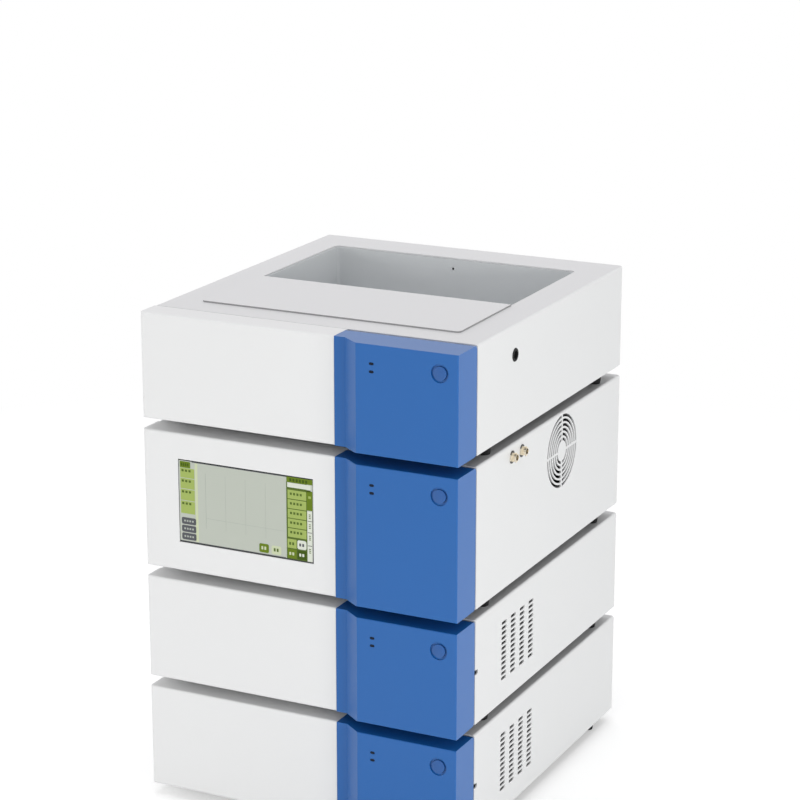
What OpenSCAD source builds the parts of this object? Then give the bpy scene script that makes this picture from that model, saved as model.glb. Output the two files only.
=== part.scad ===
// Liquid chromatography stack: a solvent tray, a detector and two pumps, one on another.
// Millimetres. +X is right, +Y is back, +Z is up. The origin is the bottom centre.

/* [Stack] */
// Width of every case
case_w = 360; // [350:1:380]
// Depth of every case, from the white front face to the rear edge
case_d = 405; // [400:1:430]
// Height of the tray and of each pump
module_h = 111; // [110:0.5:116]
// Height of the detector
detector_h = 147; // [142:1:156]
// Height of the feet, which is the gap below each module
foot_h = 11.5; // [8:0.5:14]
// Radius of a foot at its top
foot_r = 8; // [7:0.5:9]
// From the side of the case to the middle of a foot
foot_inset = 13; // [12:0.5:18]
// From the front face to the middle of the front feet
front_foot_y = 74; // [66:1:90]
// From the rear edge to the middle of the rear feet
rear_foot_in = 42; // [30:1:60]

/* [Sheet metal] */
// Thickness of the case sheet
sheet_t = 1.5; // [1.2:0.1:1.8]
// Outside radius of the folds between the top and the sides
fold_r = 2.5; // [2:0.1:2.8]
// Clearance between nested sheets
sheet_gap = 0.3; // [0.2:0.1:0.4]
// How far the rear wall stands in from the rear edge
rear_inset = 8; // [7:0.5:10]
// Height of the pan's side lips
pan_lip = 14; // [12:1:18]

/* [White front panel] */
// Width of the white panel
white_w = 220; // [214:1:226]
// Depth of the front mouldings behind the front face
fascia_d = 29; // [28:0.5:32]
// Wall of the front mouldings
mould_t = 2.5; // [2:0.1:2.8]
// Radius of the white panel's front edges
front_r = 2.5; // [2:0.5:4]
// Seam between a front moulding and the case behind it
seam = 0.8; // [0.4:0.1:1]
// Seam between the white and the blue panel
panel_seam = 0.3; // [0.2:0.1:0.5]

/* [Blue control panel] */
// Width of the strip that lies flush with the white panel
strip_w = 12; // [10:0.5:14]
// Width of the slanted step
step_w = 18.5; // [16:0.5:20]
// How far the blue face stands in front of the white one
blue_proud = 14; // [13:0.5:16]
// Radius of the blue panel's front edges
blue_front_r = 1.2; // [1:0.1:2]
// Radius of the blue panel's rear corners, seen from the side
blue_rear_r = 4; // [3:0.5:6]
// How much wider the seam behind the blue panel is than the one behind the white panel
blue_seam = 0.7; // [0.4:0.1:1.2]

/* [Power button] */
// Radius of the button
button_r = 6.9; // [6.5:0.1:8]
// From the right side of the case to the button's middle
button_in = 19.5; // [19:0.5:24]
// From the top of the case to the button's middle
button_down = 20; // [18:0.5:24]
// Open ring round the button in the blue face
button_ring = 2.4; // [1.4:0.1:2.6]
// Running clearance of the button in its collar
button_gap = 0.3; // [0.2:0.05:0.4]
// How far the button can be pushed
button_travel = 2.5; // [1.5:0.1:3]
// How far the button stands out of the blue face
button_proud = 0.8; // [0.3:0.1:1.2]

/* [Indicator lamps] */
// Width of a lamp
lamp_w = 5.2; // [4:0.1:6]
// Height of a lamp
lamp_h = 2.8; // [2:0.1:3.4]
// From the upper lamp to the lower one
lamp_pitch = 8; // [6:0.5:10]
// From the raised face's left edge to the lamps' middle
lamp_in = 17; // [14:0.5:22]
// From the top of the case to the upper lamp
lamp_down = 19; // [16:0.5:24]

/* [Tray] */
// Width of the well
well_w = 286; // [270:1:296]
// Front to back size of the well
well_d = 172; // [150:1:176]
// Depth of the well below the top face
well_depth = 72; // [50:1:80]
// Corner radius of the well
well_r = 4; // [3:0.5:8]
// From the well's rear edge to the rear edge of the case
well_rear = 47; // [46:0.5:60]
// Width of the tub's rim that shows inside the top sheet's edge
well_ledge = 1.6; // [1:0.1:2.2]
// From the top of the case to the line hole in the well's rear wall
line_hole_down = 12; // [10:0.5:18]
// Front to back size of the plate in front of the well
lid_d = 123; // [110:1:128]
// Thickness of the plate
lid_t = 1.6; // [1.2:0.1:2]
// How far the plate laps over the rim of its opening
lid_lap = 2.5; // [2:0.5:4]
// Radius of the tubing port in the right side
port_r = 7; // [6:0.5:8]
// From the front face to the tubing port
port_y = 119; // [110:0.5:130]
// From the top of the case down to the tubing port
port_down = 31; // [26:0.5:36]

/* [Detector] */
// Width of the display's glass
glass_w = 155; // [150:1:162]
// Height of the display's glass
glass_h = 88.5; // [86:0.5:94]
// From the left side of the case to the glass
glass_in = 40.5; // [34:0.5:44]
// From the top of the case to the glass
glass_down = 27; // [24:0.5:32]
// How far the glass stands back from the front face
glass_set = 0.5; // [0.3:0.1:1]
// Fan frame's side
fan_size = 80; // [76:1:80]
// Fan frame's thickness
fan_t = 25; // [22:1:30]
// From the front face to the fan's axis
fan_y = 244; // [235:0.5:255]
// From the top of the case to the fan's axis
fan_down = 42.3; // [42.2:0.1:50]
// Rings of slots in the fan grille
grille_rings = 6; // [4:1:6]
// Radius of the outermost ring of slots
grille_r = 39.3; // [38:0.1:40]
// From one ring of slots to the next
grille_pitch = 5.05; // [4.9:0.05:5.3]
// Width of a ring slot
grille_slot = 3; // [2.2:0.1:3.3]
// Width of the spokes between the slots
grille_spoke = 2.5; // [2:0.5:5]
// From the front face to the first signal socket
socket_y = 114; // [108:0.5:120]
// From one signal socket to the next
socket_pitch = 24.5; // [22:0.5:30]
// From the top of the case to the signal sockets
socket_down = 13; // [12:0.5:18]
// How far the signal sockets stand out
socket_l = 6; // [5.5:0.5:9]
// Radius of a signal socket's barrel
socket_r = 4; // [3.8:0.1:4.6]

/* [Side vents] */
// Columns of slots
vent_cols = 4; // [3:1:5]
// Rows of slots
vent_rows = 12; // [8:1:12]
// Length of a slot
vent_w = 12.4; // [10:0.1:14]
// Height of a slot
vent_h = 3.3; // [2.4:0.1:3.6]
// From one column to the next
vent_pitch_y = 22.7; // [20:0.1:24]
// From one row to the next
vent_pitch_z = 5.45; // [5:0.05:5.6]
// From the front face to the middle of the slots
vent_y = 134; // [125:0.5:140]

/* [Pump] */
// From the front face to the bulkhead that carries the pump
bulk_y = 72; // [68:0.5:76]
// Radius of a pump head
head_r = 20; // [18:0.5:21]
// Length of a pump head in front of its flange
head_l = 30; // [26:1:32]
// Height of the heads' axes above the case's bottom
head_z = 54; // [52:0.5:56]
// From the left side of the case to the first head
head_x = 88; // [80:1:100]
// From one head to the other
head_pitch = 76; // [70:1:84]
// From the left side of the case to the purge valve
purge_x = 250; // [240:1:270]
// Side of the purge valve's block
purge_w = 32; // [28:1:36]
// Radius of the purge knob
knob_r = 12; // [10:0.5:14]
// Length of the purge knob
knob_l = 18; // [14:1:20]
// Radius of the steel capillaries
capillary_r = 0.8; // [0.7:0.05:1]
// Bend radius of the capillaries
capillary_bend = 4; // [3.5:0.5:5]
// Radius of a hinge pin
pin_r = 2; // [1.6:0.1:2.2]
// From the door's left and rear faces to the hinge axis
hinge_in = 7; // [6.8:0.1:8]
// Length of the finger notch in the right side's front edge
notch_l = 9.5; // [6:0.5:11]
// Height of the finger notch
notch_h = 5; // [3:0.1:6]

/* [Rear sockets] */
// From the left side of the case to the mains inlet
inlet_x = 312; // [304:1:320]
// Height of the rear sockets above the case's bottom
inlet_z = 30; // [26:1:36]
// From the left side of the case to the data port
port_x = 60; // [50:1:90]

/* [Hidden] */
$fn = 64;

cut = 1;                              // how far a cutting tool runs past a face
touch = 0.2;                          // gap between pieces that are screwed together
white = [0.93, 0.93, 0.92];
blue = [0.25, 0.42, 0.69];
steel = [0.75, 0.76, 0.78];
dark = [0.12, 0.12, 0.13];

// Where each module's case starts, from the bottom up
pump_b_z = foot_h;
pump_a_z = pump_b_z + module_h + foot_h;
detector_z = pump_a_z + module_h + foot_h;
tray_z = detector_z + detector_h + foot_h;
stack_x = -(case_w + socket_l) / 2;
stack_y = -(case_d - blue_proud - button_proud) / 2;

cover_y = fascia_d + seam;            // front edge of the sheet metal
rear_y = case_d - rear_inset;         // outer face of the rear wall
pan_x = sheet_t + sheet_gap;          // side of the pan, inside the cover
pan_w = case_w - 2 * pan_x;
inner_h = sheet_t + sheet_gap;        // how far inner walls stay below the top face

blue_x = white_w + panel_seam;        // left edge of the blue panel
blue_w = case_w - blue_x;
face_x = blue_x + strip_w + step_w;   // left edge of the raised face
blue_d = fascia_d - blue_seam;        // depth of the blue panel behind the white face
face_y = -blue_proud;
button_x = case_w - button_in;
lamp_x = face_x + lamp_in;

well_x = (case_w - well_w) / 2;
well_y = case_d - well_rear - well_d;
lid_x = well_x - lid_lap;
lid_w = well_w + 2 * lid_lap;
lid_y = well_y - lid_d;
lid_bar = 12;                         // strip of top sheet between the well and the opening
hatch_y = lid_y + lid_lap;
hatch_d = lid_d - lid_lap - lid_bar;

// Shapes used by several pieces ---------------------------------------------------

// Stands its children in one module: x from the left side, y from the front face, z from the case
module in_module(z) translate([stack_x, stack_y, z]) children();

// Extrudes an outline drawn in x and z along y
module along_y(y, len) translate([0, y + len, 0]) rotate([90, 0, 0]) linear_extrude(len) children();

// Extrudes an outline drawn in y and z along x
module along_x(x, len) translate([x, 0, 0]) rotate([90, 0, 90]) linear_extrude(len) children();

// A cylinder along y that starts at y
module rod_y(x, y, z, r, len, facets = $fn)
    translate([x, y + len, z]) rotate([90, 0, 0]) cylinder(r = r, h = len, $fn = facets);

// A cylinder along x that starts at x
module rod_x(x, y, z, r, len, facets = $fn)
    translate([x, y, z]) rotate([0, 90, 0]) cylinder(r = r, h = len, $fn = facets);

// A rectangle with its own radius at each corner: lower left, lower right, upper right, upper left
module corner_rect(w, h, radii) {
    corners = [[0, 0], [w, 0], [w, h], [0, h]];
    inward = [[1, 1], [-1, 1], [-1, -1], [1, -1]];
    difference() {
        square([w, h]);
        for (i = [0:3]) if (radii[i] > 0) translate(corners[i]) square(2 * radii[i], center = true);
    }
    for (i = [0:3]) if (radii[i] > 0)
        translate(corners[i] + radii[i] * inward[i]) circle(radii[i]);
}

// A slot with round ends, centred, longest along its first direction
module stadium(w, h) {
    square([w - h, h], center = true);
    for (side = [-1, 1]) translate([side * (w - h) / 2, 0]) circle(h / 2);
}

// Sheet metal ---------------------------------------------------------------------

// The folded cover of one case: a top and two sides
module cover_shell(h)
    along_y(cover_y, case_d - cover_y) difference() {
        corner_rect(case_w, h, [0, 0, fold_r, fold_r]);
        translate([sheet_t, -cut])
            corner_rect(case_w - 2 * sheet_t, h - sheet_t + cut,
                        [0, 0, fold_r - sheet_t, fold_r - sheet_t]);
    }

// The block of vent slots, cut through one side at x, around the height z
module vent_cut(x, z)
    for (col = [0:vent_cols - 1], row = [0:vent_rows - 1])
        translate([0, vent_y + (col - (vent_cols - 1) / 2) * vent_pitch_y,
                   z + (row - (vent_rows - 1) / 2) * vent_pitch_z])
            along_x(x - cut, sheet_t + 2 * cut) stadium(vent_w, vent_h);

module pump_cover(z) in_module(z) color(white) difference() {
    cover_shell(module_h);
    vent_cut(0, module_h / 2);
    vent_cut(case_w - sheet_t, module_h / 2);
    // finger notch at the door's free edge
    translate([0, cover_y + notch_l / 2 - notch_h, module_h / 2])
        along_x(case_w - sheet_t - cut, sheet_t + 2 * cut) stadium(notch_l + notch_h, notch_h);
}

module tray_cover() in_module(tray_z) color(white) difference() {
    cover_shell(module_h);
    translate([well_x - well_ledge, well_y, module_h - sheet_t - cut])
        linear_extrude(sheet_t + 2 * cut)
            corner_rect(well_w + 2 * well_ledge, well_d + well_ledge,
                        [0, 0, well_r + well_ledge, well_r + well_ledge]);
    translate([well_x, hatch_y, module_h - sheet_t - cut])
        linear_extrude(sheet_t + 2 * cut) corner_rect(well_w, hatch_d, [well_r, well_r, well_r, well_r]);
    rod_x(case_w - sheet_t - cut, port_y, module_h - port_down, port_r - 1, sheet_t + 2 * cut);
}

module detector_cover() in_module(detector_z) color(white) difference() {
    cover_shell(detector_h);
    translate([0, fan_y, detector_h - fan_down])
        along_x(case_w - sheet_t - cut, sheet_t + 2 * cut) fan_grille();
    vent_cut(0, detector_h / 2);
    for (i = [0, 1])
        rod_x(case_w - sheet_t - cut, socket_y + i * socket_pitch, detector_h - socket_down,
              socket_r + touch, sheet_t + 2 * cut);
}

// Rings of slots that the spokes leave open
module fan_grille() difference() {
    for (ring = [0:grille_rings - 1]) {
        r = grille_r - ring * grille_pitch;
        difference() {
            circle(r);
            circle(r - grille_slot);
        }
    }
    for (turn = [0, 90]) rotate(turn) square([3 * grille_r, grille_spoke], center = true);
}

foot_places = [for (x = [foot_inset, case_w - foot_inset], y = [front_foot_y, case_d - rear_foot_in])
    [x, y]];
peg_r = 3;                            // peg of a foot, through the pan
peg_gap = 0.2;

// The pan and rear wall of one case, with a front wall where no door opens on it
module chassis(z, h, front_wall) in_module(z) color(steel) difference() {
    union() {
        translate([pan_x, cover_y, 0]) cube([pan_w, rear_y - cover_y, sheet_t]);
        for (x = [pan_x, case_w - pan_x - sheet_t])
            translate([x, cover_y, 0]) cube([sheet_t, rear_y - cover_y, pan_lip]);
        translate([pan_x, 0, 0])
            along_y(rear_y - sheet_t, sheet_t)
                corner_rect(pan_w, h - inner_h, [0, 0, fold_r, fold_r]);
        if (front_wall) translate([pan_x, 0, 0])
            along_y(cover_y, sheet_t) corner_rect(pan_w, h - inner_h, [0, 0, fold_r, fold_r]);
    }
    for (place = foot_places)
        translate([place[0], place[1], -cut]) cylinder(r = peg_r + peg_gap, h = sheet_t + 2 * cut);
    translate([inlet_x, 0, inlet_z]) along_y(rear_y - sheet_t - cut, sheet_t + 2 * cut)
        square([inlet_body_w + 2 * touch, inlet_body_h + 2 * touch], center = true);
    translate([port_x, 0, inlet_z]) along_y(rear_y - sheet_t - cut, sheet_t + 2 * cut)
        square([dsub_body_w + 2 * touch, dsub_body_h + 2 * touch], center = true);
}

// A rubber foot: a tapered pad with a peg that snaps through the pan
module foot()
    rotate_extrude() polygon([
        [0, -foot_h], [foot_r - 1.5, -foot_h], [foot_r, 0], [peg_r, 0],
        [peg_r, sheet_t + touch], [peg_r + 1.2, sheet_t + touch], [peg_r, sheet_t + 2], [0, sheet_t + 2]]);

module feet() color(dark)
    for (z = [pump_b_z, pump_a_z, detector_z, tray_z], place = foot_places)
        in_module(z) translate([place[0], place[1], 0]) foot();

// Front mouldings -----------------------------------------------------------------

// The white panel's solid outline, shrunk by the wall where a hollow is wanted
module white_block(h, in, rear_r) {
    r = front_r - in;
    open_back = in > 0 ? cut : 0;
    intersection() {
        translate([0, in, in])
            along_x(in, white_w - 2 * in) corner_rect(fascia_d - in + open_back, h - 2 * in, [r, 0, 0, r]);
        translate([in, in, in]) linear_extrude(h - 2 * in) white_plan(in, rear_r);
    }
}

// Plan of the white panel: a rounded front left corner, and on a door a rear one round the hinge
module white_plan(in, rear_r) {
    w = white_w - 2 * in;
    rear = max(rear_r - in, 0);
    corner_rect(w, fascia_d - in - (rear > 0 ? in : 0), [front_r - in, 0, 0, rear]);
    if (in > 0) translate([rear, front_r]) square([w - rear, fascia_d - in - front_r + cut]);
}

module front_panel(z, h, rear_r) in_module(z) color(white) difference() {
    white_block(h, 0, rear_r);
    white_block(h, mould_t, rear_r);
    children();
}

module tray_front_panel() front_panel(tray_z, module_h, 0);

module detector_front_panel() front_panel(detector_z, detector_h, 0)
    translate([glass_in - touch, -cut, detector_h - glass_down - glass_h - touch])
        cube([glass_w + 2 * touch, mould_t + 2 * cut, glass_h + 2 * touch]);

// Blue panel's plan, shrunk by the wall: a flush strip, a slanted step and the raised face
module blue_plan(in) {
    step_l = norm([step_w, blue_proud]);
    shift = in * (step_l - step_w) / blue_proud;
    rear = in > 0 ? blue_d + cut : blue_d;
    r = in > 0 ? 0 : blue_front_r;
    difference() {
        polygon([[blue_x + in, in], [blue_x + strip_w + shift, in], [face_x + shift, face_y + in],
                 [case_w - in, face_y + in], [case_w - in, rear], [blue_x + in, rear]]);
        if (r > 0) translate([case_w, face_y]) square(2 * r, center = true);
    }
    if (r > 0) translate([case_w - r, face_y + r]) circle(r);
}

module blue_block(h, in) {
    rear_r = in > 0 ? 0 : blue_rear_r;
    top_r = in > 0 ? 0 : blue_front_r;
    open_back = in > 0 ? cut : 0;
    intersection() {
        linear_extrude(h) blue_plan(in);
        translate([0, face_y, in])
            along_x(blue_x, blue_w)
                corner_rect(blue_proud + blue_d + open_back, h - 2 * in,
                            [top_r, rear_r, rear_r, top_r]);
    }
}

collar_l = 8;                         // length of the button's collar behind the face
collar_t = 1.6;                       // its wall
ring_depth = 1.6;                     // depth of the open ring round the button
boss_x = 14;                          // from the button's axis to each switch boss
boss_r = 2.6;
board_y = 9;                          // front of the switch board
board_t = 1.6;
lamp_gap = 0.15;

module control_panel(z, h) in_module(z) color(blue) difference() {
    union() {
        difference() {
            blue_block(h, 0);
            blue_block(h, mould_t);
        }
        rod_y(button_x, face_y + mould_t / 2, h - button_down,
              button_r + button_gap + collar_t, collar_l + mould_t / 2);
        for (side = [-1, 1])
            rod_y(button_x + side * boss_x, face_y + mould_t / 2, h - button_down,
                  boss_r, board_y - face_y - mould_t / 2);
    }
    rod_y(button_x, face_y - cut, h - button_down, button_r + button_ring, ring_depth + cut);
    rod_y(button_x, face_y - cut, h - button_down, button_r + button_gap, collar_l + mould_t + 2 * cut);
    for (i = [0, 1]) translate([lamp_x, 0, h - lamp_down - i * lamp_pitch])
        along_y(face_y - cut, mould_t + 2 * cut) stadium(lamp_w, lamp_h);
}

// Two lamp lenses, flush with the blue face, with a rim behind it
module indicators(z, h) in_module(z) color(dark)
    for (i = [0, 1]) translate([lamp_x, 0, h - lamp_down - i * lamp_pitch]) {
        along_y(face_y, mould_t + touch) stadium(lamp_w - 2 * lamp_gap, lamp_h - 2 * lamp_gap);
        along_y(face_y + mould_t + touch, 2) stadium(lamp_w + 1.6, lamp_h + 1.6);
    }

button_dome_r = 30;                   // radius of its domed front
rim_r = button_r + 1.3;               // rim that holds the button behind its collar
rim_y = face_y + mould_t + collar_l + 0.3;
rim_t = 1.5;
stem_r = 2.4;
stem_end = rim_y + rim_t + 7;
switch_y = rim_y + rim_t + button_travel + 0.8;
switch_w = 13;

module power_button(z, h) in_module(z) translate([button_x, 0, h - button_down]) color(blue) {
    intersection() {
        rod_y(0, face_y - button_proud, 0, button_r, rim_y - face_y + button_proud);
        translate([0, face_y - button_proud + button_dome_r, 0]) sphere(button_dome_r, $fn = 96);
    }
    rod_y(0, rim_y, 0, rim_r, rim_t);
    rod_y(0, rim_y + rim_t / 2, 0, stem_r, stem_end - rim_y - rim_t / 2);
}

// The switch behind a button, on its board
module power_switch(z, h) in_module(z) translate([button_x, 0, h - button_down])
    color([0.1, 0.35, 0.2]) difference() {
        union() {
            translate([-switch_w / 2, switch_y, -switch_w / 2])
                cube([switch_w, board_y - switch_y, switch_w]);
            translate([-boss_x - 2.5, board_y, -9]) cube([2 * boss_x + 5, board_t, 18]);
        }
        rod_y(0, switch_y - cut, 0, stem_r + button_gap, board_y - switch_y + cut);
    }

// Tray ----------------------------------------------------------------------------

// The tub that the bottles stand in, hung under the top sheet by its rim
module tray_well() in_module(tray_z) color([0.85, 0.86, 0.87]) difference() {
    rim = 9;
    rim_top = module_h - sheet_t - touch;
    union() {
        translate([well_x - sheet_t, well_y - sheet_t, module_h - well_depth - sheet_t])
            linear_extrude(rim_top - module_h + well_depth + sheet_t)
                corner_rect(well_w + 2 * sheet_t, well_d + 2 * sheet_t,
                            [sheet_t, sheet_t, well_r + sheet_t, well_r + sheet_t]);
        translate([well_x - rim, well_y - rim, rim_top - sheet_t])
            cube([well_w + 2 * rim, well_d + 2 * rim, sheet_t]);
    }
    translate([well_x, well_y, module_h - well_depth])
        linear_extrude(well_depth + cut) corner_rect(well_w, well_d, [0, 0, well_r, well_r]);
    // small hole in the rear wall of the well, for the solvent lines
    rod_y(case_w / 2, well_y + well_d - cut, module_h - line_hole_down, 1.5, sheet_t + 2 * cut);
}

// The loose plate over the opening in front of the well, with a lip that keeps it in place
module tray_lid() in_module(tray_z) color(white) difference() {
    lip_h = 4;
    lip_gap = 0.5;
    corner = 5;
    union() {
        translate([lid_x, lid_y, module_h])
            linear_extrude(lid_t) corner_rect(lid_w, lid_d, [corner, corner, 0, 0]);
        translate([well_x + lip_gap, hatch_y + lip_gap, module_h - lip_h])
            linear_extrude(lip_h) corner_rect(well_w - 2 * lip_gap, hatch_d - 2 * lip_gap,
                                              [well_r, well_r, well_r, well_r]);
    }
    translate([well_x + lip_gap + lid_t, hatch_y + lip_gap + lid_t, module_h - lip_h - cut])
        cube([well_w - 2 * lip_gap - 2 * lid_t, hatch_d - 2 * lip_gap - 2 * lid_t, lip_h + cut]);
}

// Rubber grommet that lines the tubing port
module tube_grommet() in_module(tray_z) color(dark)
    translate([case_w - sheet_t / 2, port_y, module_h - port_down]) rotate([0, 90, 0])
        rotate_extrude() {
            lip = 0.8;
            bore = port_r - 2.6;
            neck = port_r - 1 - touch;
            polygon([[bore, -sheet_t / 2 - lip], [port_r, -sheet_t / 2 - lip],
                     [port_r, -sheet_t / 2 - touch / 2], [neck, -sheet_t / 2 - touch / 2],
                     [neck, sheet_t / 2 + touch / 2], [port_r, sheet_t / 2 + touch / 2],
                     [port_r - 0.5, sheet_t / 2 + lip], [bore, sheet_t / 2 + lip]]);
        }

// Vacuum chamber of the degasser, on the pan below the plate, with its ports facing forward
module degasser() in_module(tray_z) color([0.3, 0.31, 0.33]) {
    chamber = [160, 60, 46];
    x = case_w / 2 - chamber[0] / 2;
    y = lid_y + 30;
    translate([x, y, sheet_t]) cube(chamber);
    translate([x - 8, y + 8, sheet_t]) cube([chamber[0] + 16, chamber[1] - 16, 4]);
    for (i = [0:7])
        rod_y(x + 20 + i * (chamber[0] - 40) / 7, y - 9, sheet_t + chamber[2] * 0.62, 4, 10);
}

// Detector ------------------------------------------------------------------------

// The touch display: its glass stands in the panel's window, its case behind the wall
module detector_display() in_module(detector_z) color(dark) {
    glass_z = detector_h - glass_down - glass_h;
    back = 4;
    translate([glass_in, glass_set, glass_z]) cube([glass_w, mould_t + touch - glass_set, glass_h]);
    translate([glass_in - back, mould_t + touch, glass_z - back])
        cube([glass_w + 2 * back, 9, glass_h + 2 * back]);
}

fan_x = case_w - sheet_t - touch - fan_t;   // inner face of the fan
duct_r = fan_size / 2 - 2;
motor_r = 16;
strut_t = 3;
axle_r = 1.5;
axle_gap = 0.05;
fan_z = detector_h - fan_down;

module fan_frame() in_module(detector_z) translate([0, fan_y, fan_z]) color(dark) difference() {
    screw_at = fan_size / 2 - 4.25;
    union() {
        difference() {
            along_x(fan_x, fan_t) translate([-fan_size / 2, -fan_size / 2])
                corner_rect(fan_size, fan_size, [3, 3, 3, 3]);
            rod_x(fan_x - cut, 0, 0, duct_r, fan_t + 2 * cut);
        }
        rod_x(fan_x, 0, 0, motor_r, strut_t);
        rod_x(fan_x + strut_t / 2, 0, 0, axle_r, fan_t - 6);
        for (turn = [45:90:315]) rotate([turn, 0, 0])
            translate([fan_x, motor_r - 2, -2]) cube([strut_t, duct_r - motor_r + 3, 4]);
    }
    for (y = [-screw_at, screw_at], z = [-screw_at, screw_at])
        rod_x(fan_x - cut, y, z, 2.2, fan_t + 2 * cut);
}

// Hub and pitched blades of the fan
module fan_rotor() in_module(detector_z) translate([0, fan_y, fan_z]) color([0.2, 0.2, 0.21]) {
    hub_x = fan_x + strut_t + 1;
    hub_l = fan_t - strut_t - 2.5;
    hub_r = 17;
    blades = 7;
    tip_gap = 1;
    pitch = 38;
    chord = 24;
    difference() {
        union() {
            rod_x(hub_x, 0, 0, hub_r, hub_l);
            intersection() {
                rod_x(hub_x + 0.5, 0, 0, duct_r - tip_gap, hub_l - 1);
                for (i = [0:blades - 1]) rotate([i * 360 / blades, 0, 0])
                    translate([hub_x + hub_l / 2, 0, hub_r - 2]) rotate([0, 0, pitch])
                        translate([-chord / 2, -0.8, 0]) cube([chord, 1.6, duct_r - hub_r + 2]);
            }
        }
        rod_x(hub_x - cut, 0, 0, axle_r + axle_gap, hub_l + cut - 1);
    }
}

washer_t = 0.6;                       // thickness of a socket's insulating washer
washer_h = 13.2;                      // its height
washer_w = 2 * socket_r + 1.6;        // its width
washer_tilt = 16;                     // how far it leans to the rear

// Two brass bayonet sockets: barrel, nut on the washer, bayonet studs and centre contact
module signal_sockets() color([0.8, 0.68, 0.38]) in_module(detector_z)
    for (i = [0, 1]) translate([0, socket_y + i * socket_pitch, detector_h - socket_down])
        difference() {
            union() {
                rod_x(case_w - sheet_t - 10, 0, 0, socket_r, sheet_t + 10 + socket_l);
                rotate([90 - washer_tilt, 0, 0])
                    rod_x(case_w + washer_t + touch, 0, 0, socket_r + 1.2, 2, 6);
                rod_x(case_w - sheet_t - touch / 2 - 2, 0, 0, socket_r + 2, 2);
                translate([case_w + socket_l - 1.2, 0, -socket_r - 1])
                    cylinder(r = 0.8, h = 2 * socket_r + 2);
            }
            difference() {
                rod_x(case_w + socket_l - 8, 0, 0, socket_r - 1, 8 + cut);
                rod_x(case_w + socket_l - 8 - cut, 0, 0, 1.3, 7);
            }
        }

// Black washers that insulate the sockets from the case
module socket_washers() color(dark) in_module(detector_z)
    for (i = [0, 1]) translate([0, socket_y + i * socket_pitch, detector_h - socket_down])
        difference() {
            along_x(case_w + touch / 2, washer_t) rotate(90 - washer_tilt) stadium(washer_h, washer_w);
            rod_x(case_w, 0, 0, socket_r + touch, washer_t + cut);
        }

bench_x = 50;
bench_y = 90;
bench_size = [170, 190, 52];
lamp_house_y = bench_y + bench_size[1] - 70;
cell_x = bench_x + 70;                // left face of the flow cell

// The cast optical bench with its lid, on the pan
module optical_bench() in_module(detector_z) color(steel) {
    rim = 6;
    translate([bench_x, bench_y, sheet_t]) cube([bench_size[0], bench_size[1], 8]);
    translate([bench_x + rim, bench_y + rim, sheet_t + 4])
        cube([bench_size[0] - 2 * rim, bench_size[1] - 2 * rim, bench_size[2] - 4]);
    translate([bench_x + 2, bench_y + 2, sheet_t + bench_size[2] - 1])
        cube([bench_size[0] - 4, bench_size[1] - 4, 5]);
}

// Finned lamp housing beside the bench, with a foot on the pan
module lamp_housing() in_module(detector_z) color([0.25, 0.25, 0.27]) {
    x = bench_x + bench_size[0] + touch;
    y = lamp_house_y;
    translate([x, y, sheet_t]) cube([52, 60, 5]);
    translate([x, y + 10, sheet_t + 2]) cube([44, 40, 56]);
    for (i = [0:6]) translate([x, y + 3, sheet_t + 14 + i * 6.5]) cube([50, 54, 2]);
}

// Flow cell on the front of the bench, with its two line fittings
module flow_cell() in_module(detector_z) color(steel) {
    x = cell_x;
    y = bench_y - touch - 26;
    translate([x, y, sheet_t + 14]) cube([34, 26, 30]);
    translate([x - 6, y + 12, sheet_t]) cube([46, 14, 22]);
    for (dx = [9, 25]) translate([x + dx, y + 13, sheet_t + 40]) cylinder(r = 3.6, h = 13, $fn = 6);
}

// Pumps ---------------------------------------------------------------------------

head_xs = [head_x, head_x + head_pitch];
flange_r = head_r + 4;
flange_t = 6;
nose_r = 15;
nose_l = 8;                           // how far a head's nose runs behind the bulkhead's face
head_y = bulk_y - flange_t - head_l;  // front of the heads
valve_y = bulk_y - flange_t - head_l / 2 - 2;
flat_z = head_r - 1.5;                // flats that the check valves stand on
bulk_t = 2;
bulk_x = pan_x + sheet_t + sheet_gap;
purge_block_l = 30;
purge_block_y = bulk_y - touch - purge_block_l;
knob_y = purge_block_y - 2 - knob_l;
knob_stem_r = 4;
knob_stem_gap = 0.05;

// Plate across the case that carries the heads and the purge valve, with a foot on the pan
module bulkhead(z) in_module(z) color(steel) difference() {
    union() {
        translate([bulk_x, 0, sheet_t + touch]) along_y(bulk_y, bulk_t)
            corner_rect(case_w - 2 * bulk_x, module_h - inner_h - sheet_t - touch,
                        [0, 0, fold_r, fold_r]);
        translate([bulk_x, bulk_y - 14, sheet_t + touch])
            cube([case_w - 2 * bulk_x, 14 + bulk_t, bulk_t]);
    }
    for (x = head_xs) rod_y(x, bulk_y - cut, head_z, nose_r + 0.3, bulk_t + 2 * cut);
    // room for the pegs of the feet
    for (place = foot_places) translate([place[0], place[1], 0]) cylinder(r = peg_r + 1.8, h = sheet_t + 3);
}

// Two pump heads, each with a nose through the bulkhead, flats for the valves and four screw wells
module heads(z) in_module(z) color(steel)
    for (x = head_xs) translate([x, 0, head_z]) difference() {
        union() {
            rod_y(0, bulk_y - touch - flange_t, 0, flange_r, flange_t);
            rod_y(0, bulk_y - touch - 1, 0, nose_r, nose_l + 1);
            intersection() {
                rod_y(0, head_y, 0, head_r, head_l + 1);
                translate([-head_r, head_y, -flat_z]) cube([2 * head_r, head_l + 1, 2 * flat_z]);
            }
        }
        for (turn = [45:90:315]) rotate([0, turn, 0])
            rod_y(head_r - 6, head_y - cut, 0, 3, 8 + cut);
    }

valve_l = 20;
fitting_l = 5;

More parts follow.
